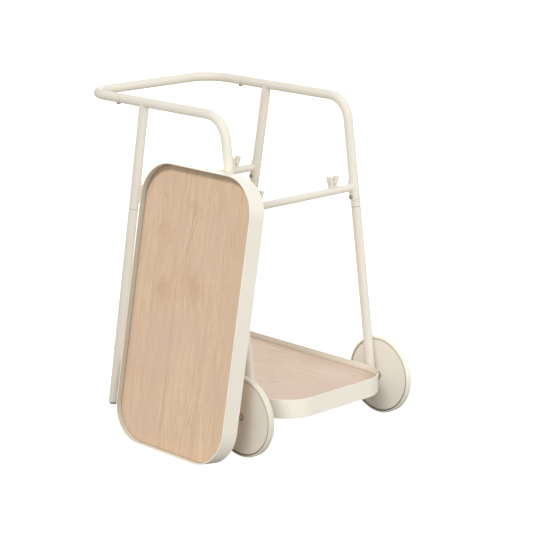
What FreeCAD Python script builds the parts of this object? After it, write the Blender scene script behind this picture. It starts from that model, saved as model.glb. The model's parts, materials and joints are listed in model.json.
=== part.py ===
import FreeCAD, Part
import math
import os
from FreeCAD import Vector

# Garden serving cart: tube frame, two wheels, fixed lower tray and a lift-off top tray.
# The top tray stands on the floor and leans against the frame.
# Working axes: X from the handle bar towards the wheels, Y to the left of the person who
# pushes, Z up from the floor. The finished part is moved to the middle of its box.
# All sizes are in millimetres, angles in degrees.

# Frame
TUBE_DIAMETER = 25.0
TUBE_WALL = 2.0
FRAME_WIDTH = 443.0
RAIL_HEIGHT = 850.0
HANDLE_BEND_RADIUS = 72.0
RAIL_BEND_RADIUS = 68.0
HANDLE_ARM_LENGTH = 143.0
PUSH_LEG_TOP_X = 231.0
PUSH_LEG_FLOOR_X = 86.7
WHEEL_LEG_TOP_X = 528.1
WHEEL_LEG_FLOOR_X = 651.0
WHEEL_LEG_TAIL = 21.0
WELD_GAP = 0.05

# Joints between the frame's tubes
SEAM_GAP = 1.2
LEG_SEAM_HEIGHT = 563.0
SLEEVE_LENGTH = 64.0
SLEEVE_WALL = 3.0
SLEEVE_CLEARANCE = 0.1
JOINT_SCREW_DIAMETER = 6.0
JOINT_SCREW_LENGTH = 10.0
JOINT_SCREW_HEAD_DIAMETER = 11.0
JOINT_SCREW_HEAD_HEIGHT = 4.0
JOINT_SCREW_SOCKET = 5.0
JOINT_SCREW_SOCKET_DEPTH = 2.4
HANDLE_SCREW_SETBACK = 15.0
LEG_SCREW_RISE = 27.0
SCREW_CLEARANCE = 0.1

# Crossbars, their saddles on the legs and the spring clips on them
CROSSBAR_DIAMETER = 20.0
CROSSBAR_WALL = 2.0
CROSSBAR_RISE = 51.7
SADDLE_THICKNESS = 2.5
SADDLE_COLLAR_RADIUS = 21.0
SADDLE_TONGUE_WIDTH = 28.0
SADDLE_TONGUE_REACH = 10.0
SADDLE_TONGUE_ROUND = 5.0
SADDLE_EDGE_SETBACK = 1.0
CLIP_SPACING = 276.0
CLIP_WIDTH = 14.0
CLIP_WAIST = 20.0
CLIP_BASE = 3.0
CLIP_SEAT_DEPTH = 10.0
CLIP_NECK_GAP = 4.6
CLIP_NECK_RISE = 3.0
CLIP_HEIGHT = 30.0
CLIP_MOUTH = 17.0
CLIP_LIP = 9.0
CLIP_LIP_ROUND = 1.2
CLIP_FLARE_BULGE = 1.2
CLIP_SADDLE_DROP = 3.5
CLIP_SCREW_DIAMETER = 3.0
CLIP_SCREW_LENGTH = 8.0
CLIP_SCREW_HEAD_DIAMETER = 5.0
CLIP_SCREW_HEAD_HEIGHT = 1.2
ROD_DIAMETER = 6.0
ROD_CLEARANCE = 0.2

# Trays: both have the same rim and panel
TRAY_LENGTH = 725.0
TRAY_SIDE_GAP = 9.0
TRAY_RIM_HEIGHT = 50.0
TRAY_CORNER_RADIUS = 95.0
TRAY_SHEET = 2.5
TRAY_EDGE_ROUND = 0.9
TRAY_RECESS = 16.0
LEDGE_WIDTH = 14.0
PANEL_THICKNESS = 6.0
PANEL_CLEARANCE = 0.4
PANEL_EDGE_ROUND = 1.0
PANEL_SCREW_DIAMETER = 3.5
PANEL_SCREW_BITE = 4.5
PANEL_SCREW_HEAD_DIAMETER = 7.0
PANEL_SCREW_HEAD_HEIGHT = 2.2
PANEL_SCREW_SHARES = (-0.8, 0.0, 0.8)
ROD_RISE = 3.5
LOWER_TRAY_HEIGHT = 95.0
LEAN_ANGLE = 9.65
LEAN_CENTRE_X = 501.0
LEAN_GAP = 0.3

# Lower tray fixings at the push legs
TRAY_BOLT_DIAMETER = 6.0
TRAY_BOLT_REACH = 5.0
TRAY_BOLT_HEAD_DIAMETER = 11.0
TRAY_BOLT_HEAD_HEIGHT = 4.0
TRAY_SPACER_DIAMETER = 18.0

# Wheels
WHEEL_DIAMETER = 211.0
TYRE_WIDTH = 18.0
TYRE_DEPTH = 7.5
TYRE_EDGE_ROUND = 4.0
TYRE_SEAM = 1.4
TYRE_BEAD_DEPTH = 2.4
TYRE_BEAD_WIDTH = 8.0
DISC_RECESS = 1.0
DISC_EDGE_ROUND = 0.8
WHEEL_GAP = 14.0
AXLE_DIAMETER = 8.0
AXLE_CLEARANCE = 0.05
AXLE_HOLE_CLEARANCE = 0.2
AXLE_SIDE_PLAY = 0.3
AXLE_HEAD_DIAMETER = 14.0
AXLE_HEAD_HEIGHT = 4.5
AXLE_WASHER_DIAMETER = 21.0
AXLE_WASHER_THICKNESS = 1.6
AXLE_NUT_FLATS = 13.0
AXLE_NUT_HEIGHT = 6.5
AXLE_THREAD_TAIL = 2.0
HUB_SPACER_DIAMETER = 18.0
BUSH_WALL = 3.0
BUSH_CLEARANCE = 0.05

# Feet and tube ends
FOOT_HEIGHT = 8.0
FOOT_DIAMETER = 20.0
FOOT_EDGE_ROUND = 2.5
PLUG_LENGTH = 14.0
PLUG_CLEARANCE = 0.1
END_CAP_THICKNESS = 3.0

# One overrun serves every cut
OVERRUN = 5.0

# Sizes that follow from the ones above
tube_radius = TUBE_DIAMETER / 2
tube_bore_radius = tube_radius - TUBE_WALL
half_frame = FRAME_WIDTH / 2
half_tray = half_frame - tube_radius - TRAY_SIDE_GAP
wheel_radius = WHEEL_DIAMETER / 2
axle_radius = AXLE_DIAMETER / 2
crossbar_radius = CROSSBAR_DIAMETER / 2
rod_radius = ROD_DIAMETER / 2
saddle_bore_radius = tube_radius + WELD_GAP
saddle_radius = saddle_bore_radius + SADDLE_THICKNESS
sleeve_radius = tube_bore_radius - SLEEVE_CLEARANCE
plug_radius = tube_bore_radius - PLUG_CLEARANCE
SIDES = {"left": 1, "right": -1}
UP = Vector(0, 0, 1)
ACROSS = Vector(0, 1, 0)
ALONG = Vector(1, 0, 0)


def on_leg(top_x, floor_x, height):
    """X of a leg's centre line at a height."""
    return floor_x + (top_x - floor_x) * height / RAIL_HEIGHT


def push_leg_x(height):
    return on_leg(PUSH_LEG_TOP_X, PUSH_LEG_FLOOR_X, height)


def wheel_leg_x(height):
    return on_leg(WHEEL_LEG_TOP_X, WHEEL_LEG_FLOOR_X, height)


def leg_direction(top_x, floor_x):
    """Unit vector down a leg."""
    direction = Vector(floor_x - top_x, 0, -RAIL_HEIGHT)
    return direction.normalize()


push_leg_down = leg_direction(PUSH_LEG_TOP_X, PUSH_LEG_FLOOR_X)
wheel_leg_down = leg_direction(WHEEL_LEG_TOP_X, WHEEL_LEG_FLOOR_X)
axle_x = wheel_leg_x(wheel_radius)
crossbar_height = LEG_SEAM_HEIGHT + CROSSBAR_RISE
rear_bar_x = push_leg_x(crossbar_height)
front_bar_x = wheel_leg_x(crossbar_height)
panel_underside = TRAY_RIM_HEIGHT - TRAY_RECESS - PANEL_THICKNESS
ledge_underside = panel_underside - TRAY_SHEET
lower_tray_x = (push_leg_x(wheel_radius) + axle_x) / 2
wheel_inner_y = half_frame + tube_radius + WHEEL_GAP
wheel_outer_y = wheel_inner_y + TYRE_WIDTH
disc_inner_y = wheel_inner_y + DISC_RECESS
disc_outer_y = wheel_outer_y - DISC_RECESS

lean = math.radians(LEAN_ANGLE)
lean_up = Vector(0, math.sin(lean), math.cos(lean))
lean_face = Vector(0, -math.cos(lean), math.sin(lean))
lean_foot_y = -half_frame - tube_radius - LEAN_GAP - TRAY_LENGTH * math.sin(lean)

box_low_x = -tube_radius
box_high_x = max(axle_x + wheel_radius, lower_tray_x + TRAY_LENGTH / 2)
box_low_y = lean_foot_y - TRAY_RIM_HEIGHT * math.cos(lean)
outer_washer_y = disc_outer_y + AXLE_SIDE_PLAY
axle_head_y = outer_washer_y + AXLE_WASHER_THICKNESS
box_high_y = max(axle_head_y + AXLE_HEAD_HEIGHT, wheel_outer_y)
TO_ORIGIN = Vector(-(box_low_x + box_high_x) / 2, -(box_low_y + box_high_y) / 2, 0)


def cylinder(start, end, radius):
    axis = end - start
    return Part.makeCylinder(radius, axis.Length, start, axis)


def ring(start, end, radius, bore_radius):
    axis = end - start
    overrun = Vector(axis).normalize() * OVERRUN
    return cylinder(start, end, radius).cut(cylinder(start - overrun, end + overrun, bore_radius))


def swept_tube(path, radius, bore_radius):
    """A round tube along a wire."""
    first = path.Edges[0]
    start = first.valueAt(first.FirstParameter)
    along = first.tangentAt(first.FirstParameter)
    solids = []
    for size in (radius, bore_radius):
        section = Part.Wire(Part.makeCircle(size, start, along))
        solids.append(path.makePipeShell([section], True, True))
    return solids[0].cut(solids[1])


def arc_between(centre, start, end):
    """Arc from start to end round a centre, the short way."""
    middle = (start - centre) + (end - centre)
    middle = centre + middle.normalize() * (start - centre).Length
    return Part.Arc(start, middle, end).toShape()


def line(start, end):
    return Part.LineSegment(start, end).toShape()


def hexagon_prism(flats, height, base, axis):
    """Hexagonal prism standing on base along axis."""
    corner_radius = flats / math.sqrt(3)
    count = 6
    points = []
    for index in range(count + 1):
        turn = 2 * math.pi * index / count
        points.append(Vector(corner_radius * math.cos(turn), corner_radius * math.sin(turn), 0))
    prism = Part.Face(Part.makePolygon(points)).extrude(UP * height)
    prism.Placement = FreeCAD.Placement(base, FreeCAD.Rotation(UP, axis))
    return prism


def socket_screw(seat, inward, diameter, length, head_diameter, head_height):
    """Button-head screw: the head stands out of the seat, the shank goes inward."""
    outward = inward * -1
    head = cylinder(seat, seat + outward * head_height, head_diameter / 2)
    far_edge = [e for e in head.Edges if (e.CenterOfMass - seat).dot(outward) > head_height / 2]
    head = head.makeFillet(head_height / 3, [e for e in far_edge if e.Closed])
    socket_base = seat + outward * (head_height - JOINT_SCREW_SOCKET_DEPTH)
    socket = hexagon_prism(JOINT_SCREW_SOCKET, JOINT_SCREW_SOCKET_DEPTH + OVERRUN, socket_base, outward)
    shank = cylinder(seat, seat + inward * length, diameter / 2)
    return head.cut(socket).fuse(shank).removeSplitter()


def rounded_plan(length, width, radius, base, height):
    """Upright prism with a rounded-rectangle plan about the origin."""
    x, y = length / 2, width / 2
    corners = ((x, y), (-x, y), (-x, -y), (x, -y))
    edges = []
    previous = None
    first = None
    for corner_x, corner_y in corners:
        centre = Vector(math.copysign(x - radius, corner_x), math.copysign(y - radius, corner_y), base)
        side_end = Vector(corner_x, centre.y, base)
        flat_end = Vector(centre.x, corner_y, base)
        clockwise = corner_x * corner_y < 0
        start, end = (flat_end, side_end) if clockwise else (side_end, flat_end)
        if previous is not None:
            edges.append(line(previous, start))
        else:
            first = start
        edges.append(arc_between(centre, start, end))
        previous = end
    edges.append(line(previous, first))
    return Part.Face(Part.Wire(edges)).extrude(UP * height)


# Frame tubes

def handle_loop():
    """U-shaped push handle in the plane of the rails."""
    arm_x = HANDLE_ARM_LENGTH - SEAM_GAP / 2
    bend = HANDLE_BEND_RADIUS
    edges = []
    for side in (-1, 1):
        outer = Vector(arm_x, side * half_frame, RAIL_HEIGHT)
        bend_start = Vector(bend, side * half_frame, RAIL_HEIGHT)
        bend_end = Vector(0, side * (half_frame - bend), RAIL_HEIGHT)
        centre = Vector(bend, side * (half_frame - bend), RAIL_HEIGHT)
        run = [(outer, bend_start), (bend_start, bend_end)]
        if side < 0:
            edges.append(line(*run[0]))
            edges.append(arc_between(centre, *run[1]))
            edges.append(line(bend_end, Vector(0, half_frame - bend, RAIL_HEIGHT)))
        else:
            edges.append(arc_between(centre, bend_end, bend_start))
            edges.append(line(bend_start, outer))
    return swept_tube(Part.Wire(edges), tube_radius, tube_bore_radius)


def side_rail(side):
    """Rail that bends down into the upper half of the wheel leg."""
    y = side * half_frame
    start = Vector(HANDLE_ARM_LENGTH + SEAM_GAP / 2, y, RAIL_HEIGHT)
    corner = Vector(WHEEL_LEG_TOP_X, y, RAIL_HEIGHT)
    turn = ALONG.getAngle(wheel_leg_down)
    setback = RAIL_BEND_RADIUS * math.tan(turn / 2)
    bend_start = corner - ALONG * setback
    bend_end = corner + wheel_leg_down * setback
    centre = bend_start - UP * RAIL_BEND_RADIUS
    end = seam_point(wheel_leg_x, y) - wheel_leg_down * (SEAM_GAP / 2)
    edges = [line(start, bend_start), arc_between(centre, bend_start, bend_end), line(bend_end, end)]
    return swept_tube(Part.Wire(edges), tube_radius, tube_bore_radius)


def seam_point(leg_x, y):
    return Vector(leg_x(LEG_SEAM_HEIGHT), y, LEG_SEAM_HEIGHT)


def upper_push_leg(side):
    """Straight tube from under the rail, its top cut to fit round the rail."""
    y = side * half_frame
    top = Vector(PUSH_LEG_TOP_X, y, RAIL_HEIGHT)
    end = seam_point(push_leg_x, y) - push_leg_down * (SEAM_GAP / 2)
    leg = ring(top, end, tube_radius, tube_bore_radius)
    rail_run = Vector(TUBE_DIAMETER + OVERRUN, 0, 0)
    return leg.cut(cylinder(top - rail_run, top + rail_run, tube_radius + WELD_GAP))


def lower_push_leg(side):
    """Straight tube from the seam to the foot, its end cut level."""
    y = side * half_frame
    start = seam_point(push_leg_x, y) + push_leg_down * (SEAM_GAP / 2)
    end = Vector(push_leg_x(-FOOT_HEIGHT), y, -FOOT_HEIGHT)
    leg = ring(start, end, tube_radius, tube_bore_radius)
    return leg.cut(floor_block(FOOT_HEIGHT))


def floor_block(height):
    """Block that holds everything near the push feet below a height."""
    reach = FRAME_WIDTH
    corner = Vector(PUSH_LEG_FLOOR_X - reach / 2, -reach, height - reach)
    return Part.makeBox(reach, 2 * reach, reach, corner)


def lower_wheel_leg(side):
    """Straight tube from the seam to just below the axle."""
    y = side * half_frame
    start = seam_point(wheel_leg_x, y) + wheel_leg_down * (SEAM_GAP / 2)
    end = wheel_leg_end(side)
    return ring(start, end, tube_radius, tube_bore_radius)


def wheel_leg_end(side):
    return Vector(axle_x, side * half_frame, wheel_radius) + wheel_leg_down * WHEEL_LEG_TAIL


def leg_body(leg_x, side, radius):
    """Solid bar along a whole leg, for cutting what meets it."""
    y = side * half_frame
    low = Vector(leg_x(-OVERRUN), y, -OVERRUN)
    high = Vector(leg_x(RAIL_HEIGHT), y, RAIL_HEIGHT)
    return cylinder(low, high, radius)


def joint_sleeve(middle, along):
    """Tube inside a seam, half in each of the two tubes."""
    reach = along * (SLEEVE_LENGTH / 2)
    return ring(middle - reach, middle + reach, sleeve_radius, sleeve_radius - SLEEVE_WALL)


def joint_screw_seats():
    """Each joint screw's group, the middle of its tube, its inward direction and its seat's radius."""
    seats = []
    for side in SIDES.values():
        setback_x = HANDLE_ARM_LENGTH - HANDLE_SCREW_SETBACK
        seats.append(("handle", Vector(setback_x, side * half_frame, RAIL_HEIGHT), Vector(UP), tube_radius))
        for leg_x in (push_leg_x, wheel_leg_x):
            seats.append(("leg", leg_screw_point(leg_x, side), ACROSS * side, saddle_radius))
    return seats


def leg_screw_point(leg_x, side):
    height = LEG_SEAM_HEIGHT + LEG_SCREW_RISE
    return Vector(leg_x(height), side * half_frame, height)


def screw_holes():
    """Shank-sized bars through every joint screw's seat."""
    bars = []
    for group, middle, inward, seat_radius in joint_screw_seats():
        radius = JOINT_SCREW_DIAMETER / 2 + SCREW_CLEARANCE
        tip = middle + inward * (JOINT_SCREW_LENGTH + OVERRUN - seat_radius)
        bars.append(cylinder(middle - inward * (seat_radius + OVERRUN), tip, radius))
    return Part.makeCompound(bars)


def spot_distance(seat_radius):
    """How far from a tube's middle the flat for a screw head lies."""
    return math.sqrt(seat_radius ** 2 - (JOINT_SCREW_HEAD_DIAMETER / 2 + SCREW_CLEARANCE) ** 2)


def spot_faces():
    """Flats for the screw heads on the round tubes and saddles."""
    bars = []
    for group, middle, inward, seat_radius in joint_screw_seats():
        radius = JOINT_SCREW_HEAD_DIAMETER / 2 + SCREW_CLEARANCE
        start = middle - inward * (seat_radius + OVERRUN)
        bars.append(cylinder(start, middle - inward * spot_distance(seat_radius), radius))
    return Part.makeCompound(bars)


def joint_screws(group):
    screws = []
    for name, middle, inward, seat_radius in joint_screw_seats():
        if name == group:
            distance = spot_distance(seat_radius)
            head_height = JOINT_SCREW_HEAD_HEIGHT + seat_radius - distance
            screws.append(socket_screw(
                middle - inward * distance, inward, JOINT_SCREW_DIAMETER, JOINT_SCREW_LENGTH,
                JOINT_SCREW_HEAD_DIAMETER, head_height))
    return Part.makeCompound(screws)


def crossbar(leg_x):
    """Tube between the two saddles of one end, both ends cut to fit round them."""
    x = leg_x(crossbar_height)
    ends = [Vector(x, side * half_frame, crossbar_height) for side in (-1, 1)]
    bar = ring(ends[0], ends[1], crossbar_radius, crossbar_radius - CROSSBAR_WALL)
    for side in (-1, 1):
        bar = bar.cut(leg_body(leg_x, side, saddle_radius + WELD_GAP))
    return bar


def saddle_blank(leg_x, side):
    """Block with a saddle's outline: a collar round the crossbar and a tongue round the screw."""
    inward = ACROSS * -side
    depth = inward * (saddle_radius + OVERRUN)
    setback = inward * SADDLE_EDGE_SETBACK
    bar = Vector(leg_x(crossbar_height), side * half_frame, crossbar_height) + setback
    screw = leg_screw_point(leg_x, side) + setback
    down = (screw - bar).normalize()
    low = screw + down * SADDLE_TONGUE_REACH
    aside = ACROSS.cross(down) * (SADDLE_TONGUE_WIDTH / 2)
    corners = [bar + aside, low + aside, low - aside, bar - aside, bar + aside]
    tongue = Part.Face(Part.makePolygon(corners)).extrude(depth)
    length = (low - bar).Length
    ends = [e for e in tongue.Edges if e.CenterOfMass.distanceToPlane(low, down) > -length / 4]
    tongue = tongue.makeFillet(SADDLE_TONGUE_ROUND, [e for e in ends if abs(e.tangentAt(0).y) > 1 / 2])
    return tongue.fuse(cylinder(bar, bar + depth, SADDLE_COLLAR_RADIUS))


def saddle(leg_x, side):
    """Curved plate on the inner side of a leg that carries the crossbar's end."""
    plate = saddle_blank(leg_x, side).common(leg_body(leg_x, side, saddle_radius))
    return plate.cut(leg_body(leg_x, side, saddle_bore_radius)).removeSplitter()


# Spring clips

def clip_profile(seat):
    """Closed outline of a moulded clip across its channel, through its seat on the crossbar.

    Points are Y from the channel's middle and Z from the top of the crossbar.
    """
    seat_half = rod_radius + ROD_CLEARANCE
    waist_half = CLIP_WAIST / 2
    seat_top = CLIP_BASE + CLIP_SEAT_DEPTH
    neck = (CLIP_NECK_GAP / 2, seat_top)
    inner_lip = (CLIP_MOUTH / 2, CLIP_HEIGHT)
    outer_lip = (CLIP_MOUTH / 2 + CLIP_LIP, CLIP_HEIGHT)
    seat_low = (seat_half, CLIP_BASE + seat_half)
    seat_high = (seat_half, seat_top - CLIP_NECK_RISE)
    waist = (waist_half, seat_low[1])
    foot = (waist_half, -CLIP_SADDLE_DROP)

    def at(point, mirror):
        return seat + ACROSS * (mirror * point[0]) + UP * point[1]

    edges = []
    for mirror in (1, -1):
        bulge = Vector(0, mirror * CLIP_FLARE_BULGE, -CLIP_FLARE_BULGE)
        for low, high in ((neck, inner_lip), (waist, outer_lip)):
            middle = (at(low, mirror) + at(high, mirror)) / 2 + bulge
            edges.append(Part.Arc(at(low, mirror), middle, at(high, mirror)).toShape())
        for low, high in ((seat_high, neck), (seat_low, seat_high), (inner_lip, outer_lip), (waist, foot)):
            edges.append(line(at(low, mirror), at(high, mirror)))
    edges.append(Part.Arc(at(seat_low, 1), at((0, CLIP_BASE), 1), at(seat_low, -1)).toShape())
    edges.append(line(at(foot, 1), at(foot, -1)))
    return Part.Face(Part.Wire(Part.__sortEdges__(edges)))


def clip_seat(bar_x, side):
    """Point on top of a crossbar under a clip's middle."""
    return Vector(bar_x, side * CLIP_SPACING / 2, crossbar_height + crossbar_radius)


def clip_screw(bar_x, side):
    """Flat screw from the clip's seat down into the crossbar."""
    seat = clip_seat(bar_x, side) + UP * (CLIP_BASE - CLIP_SCREW_HEAD_HEIGHT)
    head = cylinder(seat, seat + UP * CLIP_SCREW_HEAD_HEIGHT, CLIP_SCREW_HEAD_DIAMETER / 2)
    shank = cylinder(seat, seat - UP * CLIP_SCREW_LENGTH, CLIP_SCREW_DIAMETER / 2)
    return head.fuse(shank).removeSplitter()


def clip_screw_hole(bar_x, side):
    top = clip_seat(bar_x, side) + UP * OVERRUN
    shank_radius = CLIP_SCREW_DIAMETER / 2 + SCREW_CLEARANCE
    head_radius = CLIP_SCREW_HEAD_DIAMETER / 2 + SCREW_CLEARANCE
    head_base = clip_seat(bar_x, side) + UP * (CLIP_BASE - CLIP_SCREW_HEAD_HEIGHT)
    shank = cylinder(top, top - UP * (CLIP_SCREW_LENGTH + CROSSBAR_DIAMETER / 2), shank_radius)
    return shank.fuse(cylinder(head_base, head_base + UP * OVERRUN, head_radius))


def tray_clip(bar_x, side):
    seat = clip_seat(bar_x, side)
    clip = clip_profile(seat).extrude(ALONG * CLIP_WIDTH)
    lip_top = seat.z + CLIP_HEIGHT
    clip = clip.makeFillet(CLIP_LIP_ROUND, [e for e in clip.Edges if e.BoundBox.ZMin > lip_top - WELD_GAP])
    clip.translate(ALONG * (-CLIP_WIDTH / 2))
    reach = ACROSS * (CLIP_WAIST + OVERRUN)
    axis = seat - UP * crossbar_radius
    clip = clip.cut(cylinder(axis - reach, axis + reach, crossbar_radius + WELD_GAP))
    return clip.cut(clip_screw_hole(bar_x, side))


# Trays, modelled flat about the origin with the rim's lower edge at height zero

def tray_plan(inset, base, height):
    length = TRAY_LENGTH - 2 * inset
    width = 2 * (half_tray - inset)
    return rounded_plan(length, width, TRAY_CORNER_RADIUS - inset, base, height)


def panel_screw_places():
    """Plan places of the panel's screws, in the middle of the ledge."""
    y = half_tray - TRAY_SHEET - LEDGE_WIDTH / 2
    reach = TRAY_LENGTH / 2 - TRAY_CORNER_RADIUS
    return [(share * reach, side * y) for share in PANEL_SCREW_SHARES for side in (-1, 1)]


def panel_screw_holes(radius):
    bars = []
    for x, y in panel_screw_places():
        low = Vector(x, y, ledge_underside - OVERRUN)
        bars.append(cylinder(low, Vector(x, y, panel_underside + PANEL_SCREW_BITE), radius))
    return Part.makeCompound(bars)


def tray_rim():
    """Sheet band with rounded edges and an inward ledge that carries the panel."""
    band = tray_plan(0, 0, TRAY_RIM_HEIGHT)
    band = band.cut(tray_plan(TRAY_SHEET, -OVERRUN, TRAY_RIM_HEIGHT + 2 * OVERRUN))
    level = [e for e in band.Edges if abs(e.tangentAt(e.FirstParameter).z) < TRAY_SHEET / TRAY_LENGTH]
    band = band.makeFillet(TRAY_EDGE_ROUND, level)
    ledge = tray_plan(TRAY_SHEET / 2, ledge_underside, TRAY_SHEET)
    opening = tray_plan(TRAY_SHEET + LEDGE_WIDTH, ledge_underside - OVERRUN, TRAY_SHEET + 2 * OVERRUN)
    ledge = ledge.cut(opening)
    rim = band.fuse(ledge).removeSplitter()
    return rim.cut(panel_screw_holes(PANEL_SCREW_DIAMETER / 2 + SCREW_CLEARANCE))


def tray_panel():
    """Wooden panel that lies on the ledge."""
    panel = tray_plan(TRAY_SHEET + PANEL_CLEARANCE, panel_underside, PANEL_THICKNESS)
    top = [e for e in panel.Edges if e.BoundBox.ZMin > panel_underside + PANEL_THICKNESS / 2]
    panel = panel.makeFillet(PANEL_EDGE_ROUND, top)
    return panel.cut(panel_screw_holes(PANEL_SCREW_DIAMETER / 2 + WELD_GAP))


def panel_screws():
    screws = []
    for x, y in panel_screw_places():
        seat = Vector(x, y, ledge_underside)
        head = cylinder(seat, seat - UP * PANEL_SCREW_HEAD_HEIGHT, PANEL_SCREW_HEAD_DIAMETER / 2)
        tip = seat + UP * (TRAY_SHEET + PANEL_SCREW_BITE - WELD_GAP)
        shank = cylinder(seat, tip, PANEL_SCREW_DIAMETER / 2)
        screws.append(head.fuse(shank).removeSplitter())
    return Part.makeCompound(screws)


def clip_rod(side):
    """Rod along the tray's underside that snaps into one clip of each crossbar."""
    middle = Vector(0, side * CLIP_SPACING / 2, ROD_RISE)
    reach = ALONG * (TRAY_LENGTH / 2)
    rod = cylinder(middle - reach, middle + reach, rod_radius)
    return rod.common(tray_plan(TRAY_SHEET + WELD_GAP, 0, ROD_RISE + ROD_DIAMETER))


def leaned(shape):
    """Stand a flat tray on one short end, leaning on the right side frame."""
    middle = Vector(LEAN_CENTRE_X, lean_foot_y, 0) + lean_up * (TRAY_LENGTH / 2)
    turn = FreeCAD.Rotation(lean_up, Vector(-1, 0, 0), lean_face, "XZY")
    shape.Placement = FreeCAD.Placement(middle, turn)
    return shape


def lowered(shape):
    """Lay a flat tray between the legs."""
    shape.translate(Vector(lower_tray_x, 0, LOWER_TRAY_HEIGHT))
    return shape


def tray_spacer(leg_x, side, bore_diameter):
    """Short sleeve between a leg and the lower tray's rim."""
    x = leg_x(wheel_radius)
    seat_y = half_tray - corner_sag(x, -TRAY_SPACER_DIAMETER / 2, TRAY_CORNER_RADIUS)
    start = Vector(x, side * (seat_y + WELD_GAP), wheel_radius)
    end = Vector(x, side * half_frame, wheel_radius)
    sleeve = ring(start, end, TRAY_SPACER_DIAMETER / 2, bore_diameter / 2 + AXLE_HOLE_CLEARANCE)
    return sleeve.cut(leg_body(leg_x, side, tube_radius + WELD_GAP))


def corner_sag(x, reach, radius):
    """How far the lower tray's corner bends inward at a reach past x."""
    straight = TRAY_LENGTH / 2 - TRAY_CORNER_RADIUS
    past_bend = max(0, abs(x - lower_tray_x) + reach - straight)
    return radius - math.sqrt(radius ** 2 - past_bend ** 2)


def rim_seat_y(x, seat_radius):
    """Where a round seat meets the inside of the lower tray's rim, clear of the corner's bend."""
    return half_tray - TRAY_SHEET - corner_sag(x, seat_radius, TRAY_CORNER_RADIUS - TRAY_SHEET)


def tray_bolt_seat_y():
    return rim_seat_y(push_leg_x(wheel_radius), TRAY_BOLT_HEAD_DIAMETER / 2)


def tray_bolt_hole(side):
    x = push_leg_x(wheel_radius)
    radius = TRAY_BOLT_DIAMETER / 2 + SCREW_CLEARANCE
    start = Vector(x, side * (tray_bolt_seat_y() - OVERRUN), wheel_radius)
    return cylinder(start, Vector(x, side * half_frame, wheel_radius), radius)


def tray_bolts():
    """Bolts from inside the lower tray's rim into the push legs."""
    bolts = []
    for side in SIDES.values():
        x = push_leg_x(wheel_radius)
        seat_y = tray_bolt_seat_y()
        seat = Vector(x, side * seat_y, wheel_radius)
        reach = half_frame - tube_radius + TRAY_BOLT_REACH - seat_y
        bolts.append(socket_screw(
            seat, ACROSS * side, TRAY_BOLT_DIAMETER, reach,
            TRAY_BOLT_HEAD_DIAMETER, TRAY_BOLT_HEAD_HEIGHT))
    return Part.makeCompound(bolts)


# Wheels: places along the axle are measured outward from the cart's middle

def on_axle(side, distance):
    return Vector(axle_x, side * distance, wheel_radius)


def axle_ring(side, start, end, diameter, bore_diameter):
    return ring(on_axle(side, start), on_axle(side, end), diameter / 2, bore_diameter / 2)


inner_washer_y = disc_inner_y - AXLE_SIDE_PLAY - AXLE_WASHER_THICKNESS
axle_hole = AXLE_DIAMETER + 2 * AXLE_HOLE_CLEARANCE
bush_outer = AXLE_DIAMETER + 2 * (AXLE_CLEARANCE + BUSH_WALL)
rim_inner_y = rim_seat_y(axle_x, AXLE_WASHER_DIAMETER / 2)
nut_y = rim_inner_y - AXLE_WASHER_THICKNESS - AXLE_NUT_HEIGHT


def turned(points, side):
    """Solid of revolution about the axle from radius and distance pairs."""
    outline = [Vector(axle_x + radius, side * y, wheel_radius) for radius, y in points]
    outline.append(outline[0])
    face = Part.Face(Part.makePolygon(outline))
    return face.revolve(on_axle(side, 0), ACROSS, 360)


def round_circles(shape, radius, size, test):
    """Fillet the circular edges of about one radius that pass a test on their centre."""
    edges = []
    for edge in shape.Edges:
        curve = edge.Curve
        if hasattr(curve, "Radius") and abs(curve.Radius - radius) < WELD_GAP and test(abs(curve.Center.y)):
            edges.append(edge)
    return shape.makeFillet(size, edges)


def wheel_disc(side):
    """Smooth disc with a bead round its edge."""
    edge_radius = wheel_radius - TYRE_DEPTH - TYRE_SEAM
    bead_radius = edge_radius + TYRE_BEAD_DEPTH
    middle = (wheel_inner_y + wheel_outer_y) / 2
    bore = bush_outer / 2 + BUSH_CLEARANCE
    half_bead = TYRE_BEAD_WIDTH / 2
    points = [
        (bore, disc_inner_y),
        (edge_radius, disc_inner_y),
        (edge_radius, middle - half_bead),
        (bead_radius, middle - half_bead),
        (bead_radius, middle + half_bead),
        (edge_radius, middle + half_bead),
        (edge_radius, disc_outer_y),
        (bore, disc_outer_y),
    ]
    disc = turned(points, side)

    def on_face(y):
        return abs(y - middle) > half_bead + WELD_GAP

    return round_circles(disc, edge_radius, DISC_EDGE_ROUND, on_face)


def tyre(side):
    """Tread ring that grips the disc's bead."""
    inner_radius = wheel_radius - TYRE_DEPTH
    groove_radius = inner_radius - TYRE_SEAM + TYRE_BEAD_DEPTH + WELD_GAP
    middle = (wheel_inner_y + wheel_outer_y) / 2
    half_groove = TYRE_BEAD_WIDTH / 2 + WELD_GAP
    points = [
        (inner_radius, wheel_inner_y),
        (wheel_radius, wheel_inner_y),
        (wheel_radius, wheel_outer_y),
        (inner_radius, wheel_outer_y),
        (inner_radius, middle + half_groove),
        (groove_radius, middle + half_groove),
        (groove_radius, middle - half_groove),
        (inner_radius, middle - half_groove),
    ]
    return round_circles(turned(points, side), wheel_radius, TYRE_EDGE_ROUND, lambda y: True)


def wheel_bush(side):
    return axle_ring(side, disc_inner_y, disc_outer_y, bush_outer, AXLE_DIAMETER + 2 * AXLE_CLEARANCE)


def axle_bolt(side):
    """Bolt through the wheel, the leg and the lower tray's rim."""
    reach = axle_head_y - nut_y + AXLE_THREAD_TAIL
    return socket_screw(
        on_axle(side, axle_head_y), ACROSS * -side, AXLE_DIAMETER, reach,
        AXLE_HEAD_DIAMETER, AXLE_HEAD_HEIGHT)


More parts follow.
